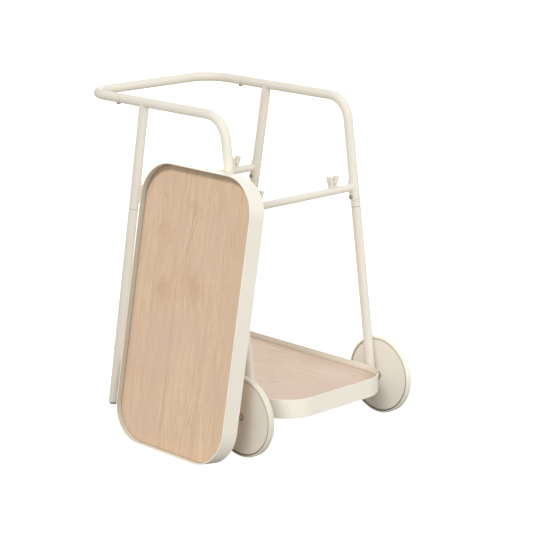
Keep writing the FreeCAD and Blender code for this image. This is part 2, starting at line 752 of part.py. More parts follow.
def axle_nuts():
    nuts = []
    for side in SIDES.values():
        nut = hexagon_prism(AXLE_NUT_FLATS, AXLE_NUT_HEIGHT, on_axle(side, nut_y), ACROSS * side)
        nuts.append(nut.cut(axle_space(side, axle_radius + WELD_GAP)))
    return Part.makeCompound(nuts)


def axle_space(side, radius):
    return cylinder(on_axle(side, 0), on_axle(side, wheel_outer_y), radius)


def axle_washers():
    washers = []
    for side in SIDES.values():
        for start in (rim_inner_y - AXLE_WASHER_THICKNESS, inner_washer_y, outer_washer_y):
            end = start + AXLE_WASHER_THICKNESS
            washers.append(axle_ring(side, start, end, AXLE_WASHER_DIAMETER, axle_hole))
    return Part.makeCompound(washers)


def hub_spacer(side):
    """Sleeve between the leg and the wheel's inner washer."""
    sleeve = axle_ring(side, half_frame, inner_washer_y, HUB_SPACER_DIAMETER, axle_hole)
    return sleeve.cut(leg_body(wheel_leg_x, side, tube_radius + WELD_GAP))


# Feet and tube ends

def foot_glide(side):
    """Rounded foot under the push leg's tube, with a plug inside the tube."""
    y = side * half_frame
    plug_top = FOOT_HEIGHT + PLUG_LENGTH
    low = Vector(push_leg_x(-FOOT_HEIGHT), y, -FOOT_HEIGHT)
    high = Vector(push_leg_x(plug_top), y, plug_top)
    foot = cylinder(low, high, FOOT_DIAMETER / 2)
    above = floor_block(0)
    above.translate(UP * (FOOT_HEIGHT + FRAME_WIDTH))
    foot = foot.cut(floor_block(0)).cut(above)
    bottom = [e for e in foot.Edges if e.BoundBox.ZMax < FOOT_HEIGHT / 2]
    foot = foot.makeFillet(FOOT_EDGE_ROUND, bottom)
    plug = cylinder(low, high, plug_radius)
    return foot.fuse(plug.cut(floor_block(FOOT_HEIGHT / 2))).removeSplitter()


def leg_end_plug(side):
    """Cap on the open lower end of a wheel leg."""
    end = wheel_leg_end(side)
    start = end + wheel_leg_down * WELD_GAP
    cap = cylinder(start, start + wheel_leg_down * END_CAP_THICKNESS, tube_radius)
    plug = cylinder(start, end - wheel_leg_down * PLUG_LENGTH, plug_radius)
    return cap.fuse(plug).removeSplitter()


# Assembly

def build_parts():
    """Every node's shape by name, at its place on the cart."""
    holes = screw_holes()
    spots = spot_faces()
    parts = {"handle_loop": handle_loop().cut(holes).cut(spots)}
    for name, side in SIDES.items():
        axle_bar = axle_space(side, axle_hole / 2)
        handle_seam = Vector(HANDLE_ARM_LENGTH, side * half_frame, RAIL_HEIGHT)
        push_seam = seam_point(push_leg_x, side * half_frame)
        wheel_seam = seam_point(wheel_leg_x, side * half_frame)
        parts[name + "_side_rail"] = side_rail(side).cut(holes)
        parts[name + "_upper_push_leg"] = upper_push_leg(side).cut(holes)
        parts[name + "_lower_push_leg"] = lower_push_leg(side).cut(tray_bolt_hole(side))
        parts[name + "_lower_wheel_leg"] = lower_wheel_leg(side).cut(axle_bar)
        parts[name + "_handle_sleeve"] = joint_sleeve(handle_seam, ALONG).cut(holes)
        parts[name + "_push_leg_sleeve"] = joint_sleeve(push_seam, push_leg_down).cut(holes)
        parts[name + "_wheel_leg_sleeve"] = joint_sleeve(wheel_seam, wheel_leg_down).cut(holes)
        parts[name + "_push_leg_spacer"] = tray_spacer(push_leg_x, side, TRAY_BOLT_DIAMETER)
        parts[name + "_wheel_leg_spacer"] = tray_spacer(wheel_leg_x, side, AXLE_DIAMETER)
        parts[name + "_foot_glide"] = foot_glide(side)
        parts[name + "_leg_end_plug"] = leg_end_plug(side)
        parts[name + "_hub_spacer"] = hub_spacer(side)
        parts[name + "_axle_bolt"] = axle_bolt(side)
        parts[name + "_wheel_disc"] = wheel_disc(side)
        parts[name + "_tyre"] = tyre(side)
        parts[name + "_wheel_bush"] = wheel_bush(side)
    clip_screws = []
    for end, leg_x in (("front", wheel_leg_x), ("rear", push_leg_x)):
        bar_x = leg_x(crossbar_height)
        bar = crossbar(leg_x)
        for name, side in SIDES.items():
            parts[name + "_" + end + "_saddle"] = saddle(leg_x, side).cut(holes).cut(spots)
            parts[name + "_" + end + "_clip"] = tray_clip(bar_x, side)
            clip_screws.append(clip_screw(bar_x, side))
            bar = bar.cut(clip_screw_hole(bar_x, side))
        parts[end + "_crossbar"] = bar
    parts["clip_screws"] = Part.makeCompound(clip_screws)
    parts["handle_screws"] = joint_screws("handle")
    parts["leg_joint_screws"] = joint_screws("leg")
    parts["axle_nuts"] = axle_nuts()
    parts["axle_washers"] = axle_washers()
    parts["lower_tray_bolts"] = tray_bolts()
    lower_rim = lowered(tray_rim())
    for side in SIDES.values():
        lower_rim = lower_rim.cut(tray_bolt_hole(side)).cut(axle_space(side, axle_hole / 2))
    parts["lower_tray_rim"] = lower_rim
    parts["lower_tray_panel"] = lowered(tray_panel())
    parts["lower_tray_panel_screws"] = lowered(panel_screws())
    parts["top_tray_rim"] = leaned(tray_rim())
    parts["top_tray_panel"] = leaned(tray_panel())
    parts["top_tray_panel_screws"] = leaned(panel_screws())
    for name, side in SIDES.items():
        parts["top_tray_" + name + "_rod"] = leaned(clip_rod(side))
    return parts


def main():
    os.makedirs("parts", exist_ok=True)
    for node, shape in build_parts().items():
        placed = shape.copy()
        placed.translate(TO_ORIGIN)
        if len(placed.Solids) == 1:
            placed = placed.Solids[0]
        placed.exportStep("parts/" + node + ".step")


main()
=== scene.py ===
import json
import math

import bpy
from mathutils import Matrix, Vector


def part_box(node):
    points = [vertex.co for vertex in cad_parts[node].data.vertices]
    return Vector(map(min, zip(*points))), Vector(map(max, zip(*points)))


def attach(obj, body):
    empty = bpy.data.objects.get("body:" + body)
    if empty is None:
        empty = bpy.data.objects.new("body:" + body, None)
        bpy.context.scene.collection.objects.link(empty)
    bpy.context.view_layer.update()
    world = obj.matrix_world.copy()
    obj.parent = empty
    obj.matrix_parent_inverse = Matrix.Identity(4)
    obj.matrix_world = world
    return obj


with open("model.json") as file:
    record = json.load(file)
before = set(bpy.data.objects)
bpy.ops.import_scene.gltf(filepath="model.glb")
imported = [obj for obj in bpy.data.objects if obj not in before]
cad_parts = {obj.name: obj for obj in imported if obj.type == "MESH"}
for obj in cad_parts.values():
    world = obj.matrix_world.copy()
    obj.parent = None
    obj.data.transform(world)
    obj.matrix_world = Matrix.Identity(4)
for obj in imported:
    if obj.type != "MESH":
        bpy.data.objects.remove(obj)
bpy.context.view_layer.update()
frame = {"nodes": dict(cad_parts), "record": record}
nodes = frame["nodes"]

# All lengths are in metres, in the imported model's own frame. Tones are display values of 0 to 255.

# Camera: its place from the cart's own origin, its turn and its focal length in pixels
IMAGE_PIXELS = 536
FOCAL_PIXELS = 1950.0
SENSOR_WIDTH = 36.0
CAMERA_OFFSET = Vector((3.994203, -3.496702, 1.684))
CAMERA_YAW = math.radians(45.282)
CAMERA_PITCH = math.radians(14.343)
CAMERA_ROLL = math.radians(0.300)

# Frame sizes that the camera and the welds follow, from the cart's own origin under the push handle
TUBE_RADIUS = 0.0125
RAIL_HEIGHT = 0.850
RAIL_SPACING = 0.443
LEG_FOOT = 0.0867
LEG_HEAD = 0.2310

# Welds: the bead's radius, its ripple, the points along one bead and the steps round its section
BEAD_RADIUS = 0.0012
BEAD_RIPPLE = 0.08
BEAD_POINTS = 36
BEAD_STEPS = 3
ROD_RADIUS = 0.0030

# The top tray leans by this much from upright
LEAN = math.radians(9.65)
LEAN_UP = Vector((0, math.sin(LEAN), math.cos(LEAN)))
LENGTHWISE = Vector((1, 0, 0))
ACROSS = Vector((0, 1, 0))
UPWARD = Vector((0, 0, 1))
SIDES = (("left", 1), ("right", -1))

# Studio: the room's own glow, the floor and the lamps
ROOM_GLOW = 0.65
ROOM_TONE = (255, 255, 254)
FLOOR_SIZE = 60.0
FLOOR_GLOW = 1.0
FLOOR_GLOW_TONE = (255, 255, 255)
FLOOR_TONES = ((200, 198, 194), (204, 202, 198))
FLOOR_ROUGHNESS = 0.9
FLOOR_SPECULAR = 0.1
SUN_DISTANCE = 4.0
# Distant lamps for the top tray's panel and rim: elevation, azimuth, angle and strength
PANEL_SUN = (math.radians(55.0), math.radians(-5.0), math.radians(12.0), 1.82)
RIM_SUN = (math.radians(32.0), math.radians(0.0), math.radians(20.0), 1.8)
# Broad lamps: place, width and power
OVERHEAD_LAMP = (Vector((0, 0, 4.0)), 4.0, 22.0)
FRONT_LAMP = (Vector((2.05, -4.0, 1.9)), 2.4, 85.0)
BACK_LAMP = (Vector((-3.0, 3.8, 1.8)), 2.6, 50.0)
SIDE_LAMP = (Vector((3.8, 1.6, 1.6)), 2.6, 50.0)
TRAY_SIDE_LAMP = (Vector((3.8, 1.6, 1.6)), 2.6, 42.0)
WHEEL_LAMP = (Vector((2.05, -2.6, 3.9)), 1.8, 138.0)
FILL_LAMP = (Vector((3.6, -3.2, 1.5)), 1.5, 30.0)

# Noise patterns: scale per metre, then detail, roughness and distortion where they matter
FLOOR_CLOUD = (0.8, 2.0)
COAT_DRIFT = (7.0, 2.0)
STEEL_CLOUD = (180.0, 3.0)
STEEL_MARKS = (2200.0, 2.0, 0.7)
WOOD_CLOUD = (5.0, 3.0, 0.55)
# Most noise values lie in this range
NOISE_RANGE = (0.3, 0.7)

# Coats: light tone, dark tone, roughness, scale of the grain per metre and depth of the grain
COATS = {
    "cream_powder_coat": ((236, 231, 219), (232, 226, 213), 0.50, 1400.0, 0.00006),
    "cream_wheel": ((236, 231, 219), (232, 226, 213), 0.44, 700.0, 0.00004),
    "cream_tyre": ((232, 226, 212), (227, 220, 206), 0.64, 1100.0, 0.00008),
    "cream_spacer": ((234, 228, 215), (229, 222, 208), 0.42, 900.0, 0.00004),
    "grey_glide": ((184, 177, 169), (170, 163, 156), 0.55, 900.0, 0.00008),
    "white_bush": ((226, 225, 220), (214, 213, 208), 0.36, 700.0, 0.00004),
}
COAT_DRIFT_SHARE = 0.8
COAT_SPECK_SCALE_SHARE = 1 / 3
COAT_SPECK_DETAIL = 1.0
COAT_PEEL_DETAIL = 2.0
COAT_PEEL_ROUGHNESS = 0.6
COAT_SWING = 0.06
COAT_SPECULAR = 0.35
COAT_BUMP = 0.25

# Painted shade in the seam between a wheel's disc and its tyre, darker towards the wheel's foot: its width,
# and its strength at the foot and the top
SEAM_SHADED_COATS = ("cream_wheel", "cream_tyre")
SEAM_SHADE_TONE = (78, 67, 52)
SEAM_SHOWN = 0.0013
SEAM_SHARES = (1.0, 0.45)

# Steels: light tone, dark tone and roughness
STEELS = {
    "screw_steel": ((190, 186, 180), (156, 152, 146), 0.30),
    "zinc_steel": ((218, 214, 206), (196, 192, 185), 0.42),
    # The sleeves' steel is darker than the zinc: painted shade in the seams where the sleeves show between
    # the tubes
    "sleeve_steel": ((152, 144, 134), (128, 121, 112), 0.50),
}
STEEL_METALLIC = 0.9
STEEL_SWING = 0.08
STEEL_BUMP = 0.15
STEEL_MARK_DEPTH = 0.00005

# Wooden boards: their width, where the first joint lies, and how wide a joint shows
BOARD_WIDTH = 0.092
BOARD_JOINT = 0.036
JOINT_SHOWN = 0.0010
# How far the grain of one board is shifted against the next
BOARD_SHIFT = 7.0

# Tones of the wood: pale, middle, warm, rosy, line and reddish
TOP_TONES = ((231, 206, 176), (222, 195, 165), (211, 179, 146),
             (217, 188, 169), (176, 141, 109), (208, 168, 135))
# The lower tray's tones are paler than the top tray's, partly painted light that makes up for the light its
# up-facing boards get
LOWER_LIT_TONES = ((243, 224, 203), (238, 216, 195), (229, 201, 176),
               (238, 211, 198), (196, 166, 142), (226, 190, 166))
TOP_ROUGHNESS = 0.58
LOWER_ROUGHNESS = 0.40
TOP_SEED = 1.0
LOWER_SEED = 4.0
WOOD_SWING = 0.07
WOOD_SPECULAR = 0.5

# Grain patterns: scale across and along the board per metre, detail, roughness and distortion
WANDER_GRAIN = (40.0, 26.0, 3.0, 0.5, 0.6)
SLOW_GRAIN = (11.0, 1.5, 1.2, 0.4, 0.2)
PATCH_GRAIN = (26.0, 9.0, 3.0, 0.6, 0.8)
FIBRE_GRAIN = (290.0, 13.0, 5.0, 0.7, 0.5)
PORE_GRAIN = (1000.0, 60.0, 2.0, 0.5, 0.0)
# The field whose level lines the grain follows: its rise per metre across, and how much it bends
FIELD_RISE = 12.0
FIELD_BEND = 2.7
# Lines along the field: scale and detail
BAND_LINES = (2.2, 2.0)
RING_LINES = (26.0, 4.0)

# Tints of the wood: the pattern's value where a tint starts, where it is full, and its share there
BAND_TINT = (0.32, 0.68, 1.0)
PATCH_TINT = (0.42, 0.70, 0.55)
RING_TINT = (0.46, 0.70, 0.60)
RING_LINE_TINT = (0.56, 0.66, 0.34)
FIBRE_WARM_TINT = (0.48, 0.68, 0.72)
FIBRE_PALE_TINT = (0.50, 0.34, 0.66)
CLOUD_TINT = (0.45, 0.64, 0.75)
KNOT_TINT = (0.0, 1.0, 0.55)
KNOT_REACH = (0.10, 0.90, 1.0)
KNOT_RING_TINT = (0.48, 0.62, 0.26)
PORE_REACH = (0.55, 0.70, 1.0)
PORE_TINT = (0.0, 1.0, 0.15)
STREAK_TINT = (0.0, 1.0, 0.45)
BOARD_TINT = (0.0, 1.0, 0.25)
JOINT_TINT = (0.0, 1.0, 0.30)

# Relief of the wood: heights of the fibres and pores against a joint's depth, then strength and depth
FIBRE_HEIGHT = 0.5
PORE_HEIGHT = 0.6
WOOD_BUMP = 0.30
WOOD_DEPTH = 0.0002

# Dark streaks of the top tray's wood: ends as shares of the panel's width and length from its middle
STREAK_SHARES = (((0.035, 0.38), (-0.100, 0.13)), ((-0.015, 0.45), (-0.060, 0.10)),
                 ((-0.115, 0.12), (-0.105, -0.46)), ((-0.096, 0.49), (-0.096, 0.20)))
STREAK_SHOWN = 0.0026
STREAK_FADE = 0.078

# Knots: shares of the panel's width and length from its middle, and their reach
TOP_KNOT_SHARES = ((-0.24, 0.055, 1.0), (0.03, 0.105, 1.2), (-0.29, 0.27, 0.8), (-0.01, 0.36, 0.6))
LOWER_KNOT_SHARES = ((0.20, -0.22, 1.0),)
KNOT_WIDTH = 0.026
KNOT_LENGTH = 0.034
KNOT_WANDER = 0.016

# Painted shadow line in the gap at a panel's edge, partly oil darkening the edge, and painted soft shade
# along the rim: its corner radius, their widths, their shares and their tone
PANEL_CORNER = 0.0921
EDGE_LINE = 0.0024
EDGE_LINE_SHARE = 0.70
EDGE_SHADE = 0.016
EDGE_SHADE_SHARE = 0.14
EDGE_SHADE_TONE = (122, 102, 80)


def srgb(red, green, blue):
    """Scene-linear colour from display values of 0 to 255."""
    def linear(value):
        share = value / 255
        return share / 12.92 if share <= 0.04045 else ((share + 0.055) / 1.055) ** 2.4
    return (linear(red), linear(green), linear(blue), 1.0)


class Graph:
    """Builds one material's nodes."""

    def __init__(self, name):
        self.material = bpy.data.materials.new(name)
        self.material.use_nodes = True
        self.tree = self.material.node_tree
        self.shader = self.tree.nodes["Principled BSDF"]

    def add(self, kind, inputs=(), **settings):
        """A new node; inputs are (socket, value or output) pairs."""
        node = self.tree.nodes.new(kind)
        for key, value in settings.items():
            setattr(node, key, value)
        for socket, value in inputs:
            self.set(node.inputs[socket], value)
        return node

    def set(self, socket, value):
        if isinstance(value, bpy.types.NodeSocket):
            self.tree.links.new(value, socket)
        else:
            socket.default_value = value

    def shade(self, **sockets):
        """Set the shader's sockets by their names, with underscores for spaces."""
        for key, value in sockets.items():
            self.set(self.shader.inputs[key.replace("_", " ")], value)

    def place(self):
        return self.add("ShaderNodeTexCoord").outputs["Object"]

    def noise(self, vector, scale, detail=3.0, roughness=0.5, distortion=0.0):
        pairs = [("Vector", vector), ("Scale", scale), ("Detail", detail),
                 ("Roughness", roughness), ("Distortion", distortion)]
        return self.add("ShaderNodeTexNoise", pairs).outputs["Fac"]

    def lines(self, value, scale, detail):
        """Noise along one value, which makes bands where that value changes."""
        node = self.add("ShaderNodeTexNoise", noise_dimensions="1D")
        for socket, setting in (("W", value), ("Scale", scale), ("Detail", detail)):
            self.set(node.inputs[socket], setting)
        return node.outputs["Fac"]

    def math(self, operation, first, second=0.0):
        return self.add("ShaderNodeMath", [(0, first), (1, second)], operation=operation).outputs[0]

    def spread(self, value, low, high, to_low, to_high, smooth=False):
        """Map a value from one range to another."""
        node = self.add("ShaderNodeMapRange", [(0, value), (1, low), (2, high), (3, to_low), (4, to_high)])
        node.interpolation_type = "SMOOTHSTEP" if smooth else "LINEAR"
        return node.outputs[0]

    def reach(self, pattern, settings):
        """A share that grows from zero where a pattern starts to its own value where it is full."""
        start, full, share = settings
        return self.spread(pattern, start, full, 0.0, share)

    def swing(self, pattern, value, by):
        """A value that a pattern moves up and down."""
        return self.spread(pattern, *NOISE_RANGE, value - by, value + by)

    def mix(self, share, first, second):
        """A colour between two; the colour sockets follow those for numbers and vectors."""
        node = self.add("ShaderNodeMix", data_type="RGBA")
        self.set(node.inputs[0], share)
        self.set(node.inputs[6], first)
        self.set(node.inputs[7], second)
        return node.outputs[2]

    def bump(self, height, strength, distance):
        pairs = [("Height", height), ("Strength", strength), ("Distance", distance)]
        node = self.add("ShaderNodeBump", pairs)
        self.set(self.shader.inputs["Normal"], node.outputs["Normal"])

    def along(self, vector, axis):
        """Distance along an axis."""
        pairs = [(0, vector), (1, tuple(axis))]
        return self.add("ShaderNodeVectorMath", pairs, operation="DOT_PRODUCT").outputs["Value"]

    def joined(self, x, y, z):
        return self.add("ShaderNodeCombineXYZ", [(0, x), (1, y), (2, z)]).outputs[0]


def seam_shade_field(graph, place):
    """How much painted shade each point gets from the seam round a wheel's disc, most at the wheel's foot.
    """
    low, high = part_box("left_wheel_disc")
    middle = (Vector(low) + Vector(high)) / 2
    seam = (high[0] - low[0]) / 2
    pairs = [(0, place), (1, tuple(middle))]
    apart = graph.add("ShaderNodeVectorMath", pairs, operation="SUBTRACT").outputs[0]
    pairs = [(0, apart), (1, tuple(LENGTHWISE + UPWARD))]
    apart = graph.add("ShaderNodeVectorMath", pairs, operation="MULTIPLY").outputs[0]
    radius = graph.add("ShaderNodeVectorMath", [(0, apart)], operation="LENGTH").outputs["Value"]
    away = graph.math("ABSOLUTE", graph.math("SUBTRACT", radius, seam))
    line = graph.spread(away, SEAM_SHOWN / 2, SEAM_SHOWN, 1.0, 0.0)
    foot = graph.spread(graph.along(place, UPWARD), low[2], high[2], *SEAM_SHARES)
    return graph.math("MULTIPLY", line, foot)


def coated(name, light, dark, roughness, grain_scale, grain_depth):
    """Even coat with a faint drift of colour, soft gloss and a fine orange-peel surface."""
    graph = Graph(name)
    place = graph.place()
    drift = graph.noise(place, *COAT_DRIFT)
    speck = graph.noise(place, grain_scale * COAT_SPECK_SCALE_SHARE, COAT_SPECK_DETAIL)
    drift_part = graph.math("MULTIPLY", drift, COAT_DRIFT_SHARE)
    speck_part = graph.math("MULTIPLY", speck, 1 - COAT_DRIFT_SHARE)
    share = graph.spread(graph.math("ADD", drift_part, speck_part), *NOISE_RANGE, 0.0, 1.0)
    peel = graph.noise(place, grain_scale, COAT_PEEL_DETAIL, COAT_PEEL_ROUGHNESS)
    colour = graph.mix(share, srgb(*dark), srgb(*light))
    # Painted shade along the seam round the disc, strongest at the wheel's foot
    if name in SEAM_SHADED_COATS:
        colour = graph.mix(seam_shade_field(graph, place), colour, srgb(*SEAM_SHADE_TONE))
    graph.shade(Base_Color=colour)
    graph.shade(Roughness=graph.swing(peel, roughness, COAT_SWING))
    graph.shade(Specular_IOR_Level=COAT_SPECULAR)
    graph.bump(peel, COAT_BUMP, grain_depth)
    return graph.material


def knot_field(graph, width, length, wander, size, knot_shares):
    """How near each point is to a knot, 1 at a knot's middle, summed over the knots."""
    total = 0.0
    for width_share, length_share, reach in knot_shares:
        aside = graph.math("SUBTRACT", graph.math("ADD", width, wander), width_share * size[0])
        along = graph.math("SUBTRACT", graph.math("SUBTRACT", length, wander), length_share * size[1])
        aside = graph.math("DIVIDE", aside, KNOT_WIDTH * reach)
        along = graph.math("DIVIDE", along, KNOT_LENGTH * reach)
        squares = [graph.math("MULTIPLY", value, value) for value in (aside, along)]
        far = graph.math("ADD", squares[0], squares[1])
        near = graph.math("EXPONENT", graph.math("MULTIPLY", far, -1.0))
        total = graph.math("ADD", total, near)
    return total


def streak_field(graph, width, length, size, streak_shares):
    """How near each point is to a dark streak, 1 on its line, fading past its ends."""
    total = 0.0
    for (start_width, start_length), (end_width, end_length) in streak_shares:
        slope = (end_width - start_width) * size[0] / ((end_length - start_length) * size[1])
        past_start = graph.math("SUBTRACT", length, start_length * size[1])
        line = graph.math("ADD", graph.math("MULTIPLY", past_start, slope), start_width * size[0])
        aside = graph.math("ABSOLUTE", graph.math("SUBTRACT", width, line))
        near = graph.spread(aside, 0.0, STREAK_SHOWN, 1.0, 0.0, smooth=True)
        first, last = sorted((start_length * size[1], end_length * size[1]))
        rise = graph.spread(length, first - STREAK_FADE, first + STREAK_FADE, 0.0, 1.0, smooth=True)
        fall = graph.spread(length, last - STREAK_FADE, last + STREAK_FADE, 1.0, 0.0, smooth=True)
        near = graph.math("MULTIPLY", near, graph.math("MULTIPLY", rise, fall))
        total = graph.math("MAXIMUM", total, near)
    return total


def extent(node, axis):
    """A node's whole reach along an axis."""
    reaches = [vertex.co.dot(axis) for vertex in nodes[node].data.vertices]
    return max(reaches) - min(reaches)


def edge_shade_field(graph, width, length, size):
    """How dark each point is from the painted shadow line (partly an oiled edge) and the painted soft shade
    along a panel's rounded outline.
    """
    beyond = []
    for distance, reach in zip((width, length), size):
        straight = reach / 2 - PANEL_CORNER
        beyond.append(graph.math("SUBTRACT", graph.math("ABSOLUTE", distance), straight))
    outer = [graph.math("MAXIMUM", value, 0.0) for value in beyond]
    squares = [graph.math("MULTIPLY", value, value) for value in outer]
    inner = graph.math("MINIMUM", graph.math("MAXIMUM", beyond[0], beyond[1]), 0.0)
    depth = graph.math("ADD", graph.math("SQRT", graph.math("ADD", squares[0], squares[1])), inner)
    line = graph.spread(depth, PANEL_CORNER - EDGE_LINE, PANEL_CORNER, 0.0, EDGE_LINE_SHARE)
    shade = graph.spread(depth, PANEL_CORNER - EDGE_SHADE, PANEL_CORNER, 0.0, EDGE_SHADE_SHARE)
    return graph.math("MAXIMUM", line, shade)


def wood(name, node, tones, axes, knot_shares, streak_shares, roughness, seed):
    """Light boards: grain that flows along the length and round a few knots, faint joints, open pores."""
    pale, middle, warm, rosy, line, reddish = [srgb(*tone) for tone in tones]
    length_axis, width_axis = axes
    low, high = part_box(node)
    centre = (Vector(low) + Vector(high)) / 2
    size = (extent(node, width_axis), extent(node, length_axis))
    graph = Graph(name)
    pairs = [(0, graph.place()), (1, tuple(centre))]
    place = graph.add("ShaderNodeVectorMath", pairs, operation="SUBTRACT").outputs[0]
    length = graph.along(place, length_axis)
    width = graph.along(place, width_axis)
    # Boards side by side, each with its own shade and grain
    counted = graph.math("DIVIDE", graph.math("ADD", width, BOARD_JOINT), BOARD_WIDTH)
    in_board = graph.math("FRACT", counted)
    shade_pairs = [("Vector", graph.joined(graph.math("FLOOR", counted), seed, 0.0))]
    board = graph.add("ShaderNodeTexWhiteNoise", shade_pairs, noise_dimensions="3D").outputs["Value"]
    shift = graph.math("MULTIPLY", board, BOARD_SHIFT)
    edge = graph.math("MINIMUM", in_board, graph.math("SUBTRACT", 1.0, in_board))
    joint = graph.spread(edge, 0.0, JOINT_SHOWN / BOARD_WIDTH, 1.0, 0.0)

    def grain(settings):
        """Noise drawn out along the boards."""
        across, along, *rest = settings
        drawn = (graph.math("MULTIPLY", width, across), graph.math("MULTIPLY", length, along))
        return graph.noise(graph.joined(*drawn, shift), 1.0, *rest)

    # The grain follows the level lines of a slow field that swells at the knots
    wander = graph.spread(grain(WANDER_GRAIN), *NOISE_RANGE, -KNOT_WANDER, KNOT_WANDER)
    knot = knot_field(graph, width, length, wander, size, knot_shares)
    field = graph.math("MULTIPLY", width, FIELD_RISE)
    field = graph.math("ADD", field, graph.math("MULTIPLY", grain(SLOW_GRAIN), FIELD_BEND))
    field = graph.math("ADD", graph.math("ADD", field, knot), shift)
    bands = graph.lines(field, *BAND_LINES)
    rings = graph.lines(field, *RING_LINES)
    fibres = grain(FIBRE_GRAIN)
    pores = graph.reach(grain(PORE_GRAIN), PORE_REACH)
    cloud = graph.noise(place, *WOOD_CLOUD)
    streak = streak_field(graph, width, length, size, streak_shares)
    tints = [
        (graph.reach(bands, BAND_TINT), pale),
        (graph.reach(grain(PATCH_GRAIN), PATCH_TINT), warm),
        (graph.reach(rings, RING_TINT), warm),
        (graph.reach(rings, RING_LINE_TINT), line),
        (graph.reach(fibres, FIBRE_WARM_TINT), warm),
        (graph.reach(fibres, FIBRE_PALE_TINT), pale),
        (graph.reach(cloud, CLOUD_TINT), rosy),
        (graph.reach(knot, KNOT_TINT), reddish),
        (graph.math("MULTIPLY", graph.reach(knot, KNOT_REACH), graph.reach(rings, KNOT_RING_TINT)), line),
        (graph.reach(pores, PORE_TINT), line),
        (graph.reach(streak, STREAK_TINT), line),
        (graph.reach(board, BOARD_TINT), warm),
        (graph.reach(joint, JOINT_TINT), line),
        # Painted shadow line and painted shade along the panel's edge against the rim, the line partly an
        # oiled edge
        (edge_shade_field(graph, width, length, size), srgb(*EDGE_SHADE_TONE)),
    ]
    colour = middle
    for share, tone in tints:
        colour = graph.mix(share, colour, tone)
    graph.shade(Base_Color=colour)
    graph.shade(Roughness=graph.swing(fibres, roughness, WOOD_SWING))
    graph.shade(Specular_IOR_Level=WOOD_SPECULAR)
    raised = graph.math("MULTIPLY", fibres, FIBRE_HEIGHT)
    sunk = graph.math("ADD", graph.math("MULTIPLY", pores, PORE_HEIGHT), joint)
    graph.bump(graph.math("SUBTRACT", raised, sunk), WOOD_BUMP, WOOD_DEPTH)
    return graph.material


def steel(name, light, dark, roughness):
    """Plated steel with fine turning marks."""
    graph = Graph(name)
    place = graph.place()
    cloud = graph.spread(graph.noise(place, *STEEL_CLOUD), *NOISE_RANGE, 0.0, 1.0)
    marks = graph.noise(place, *STEEL_MARKS)
    graph.shade(Base_Color=graph.mix(cloud, srgb(*dark), srgb(*light)))
    graph.shade(Metallic=STEEL_METALLIC)
    graph.shade(Roughness=graph.swing(marks, roughness, STEEL_SWING))
    graph.bump(marks, STEEL_BUMP, STEEL_MARK_DEPTH)
    return graph.material


def make_materials():
    """One material for each slot of the record, and a darker one for the sleeves inside the tubes, which
    paints the shade in the tube seams.
    """
    made = {name: coated(name, *settings) for name, settings in COATS.items()}
    made.update({name: steel(name, *settings) for name, settings in STEELS.items()})
    made["top_tray_wood"] = wood("top_tray_wood", "top_tray_panel", TOP_TONES, (LEAN_UP, LENGTHWISE),
                                 TOP_KNOT_SHARES, STREAK_SHARES, TOP_ROUGHNESS, TOP_SEED)
    # The lower tray's paler tones are partly painted light
    made["lower_tray_wood"] = wood("lower_tray_wood", "lower_tray_panel", LOWER_LIT_TONES, (LENGTHWISE, ACROSS),
                                   LOWER_KNOT_SHARES, (), LOWER_ROUGHNESS, LOWER_SEED)
    return made


materials = make_materials()


def dress_nodes():
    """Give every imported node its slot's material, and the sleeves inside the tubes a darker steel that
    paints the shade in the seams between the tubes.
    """
    for subpart in frame["record"]["subparts"]:
        node = nodes[subpart["node"]]
        # Sleeves get the darker steel, painted shade in the tube seams
        slot = "sleeve_steel" if subpart["node"].endswith("_sleeve") else subpart["material_slot"]
        node.data.materials.clear()
        node.data.materials.append(materials[slot])


dress_nodes()


def cart_origin():
    """The floor point under the middle of the push handle's grip."""
    handle_low, handle_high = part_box("handle_loop")
    return Vector((handle_low[0] + TUBE_RADIUS, (handle_low[1] + handle_high[1]) / 2, 0))


def weld_bead(name, body, points):
    """A rippled closed bead through the given points, coated like the tubes."""
    curve = bpy.data.curves.new(name, "CURVE")
    curve.dimensions = "3D"
    curve.bevel_depth = BEAD_RADIUS
    curve.bevel_resolution = BEAD_STEPS
    spline = curve.splines.new("NURBS")
    spline.points.add(len(points) - 1)
    for index, (point, place) in enumerate(zip(spline.points, points)):
        point.co = (*place, 1.0)
        point.radius = 1.0 + BEAD_RIPPLE * (-1) ** index
    spline.use_cyclic_u = True
    curve.materials.append(materials["cream_powder_coat"])
    bead = bpy.data.objects.new(name, curve)
    bpy.context.scene.collection.objects.link(bead)
    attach(bead, body)
    return bead


def turns():
    """Even angles round one bead."""
    return [math.tau * index / BEAD_POINTS for index in range(BEAD_POINTS)]


def weld_legs():
    """Beads where each push leg meets the tube of the rail from below."""
    beads = []
    down = Vector((LEG_FOOT - LEG_HEAD, 0, -RAIL_HEIGHT)).normalized()
    aside = Vector((-down.z, 0, down.x))
    for side, sign in SIDES:
        head = cart_origin() + Vector((LEG_HEAD, sign * RAIL_SPACING / 2, RAIL_HEIGHT))
        points = []
        for turn in turns():
            spoke = (aside * math.cos(turn) + ACROSS * math.sin(turn)) * TUBE_RADIUS
            drop = TUBE_RADIUS * abs(math.cos(turn))
            points.append(head + spoke + down * ((drop + spoke.z) / -down.z))
        beads.append(weld_bead(side + "_leg_weld", "cart_frame", points))
    return beads


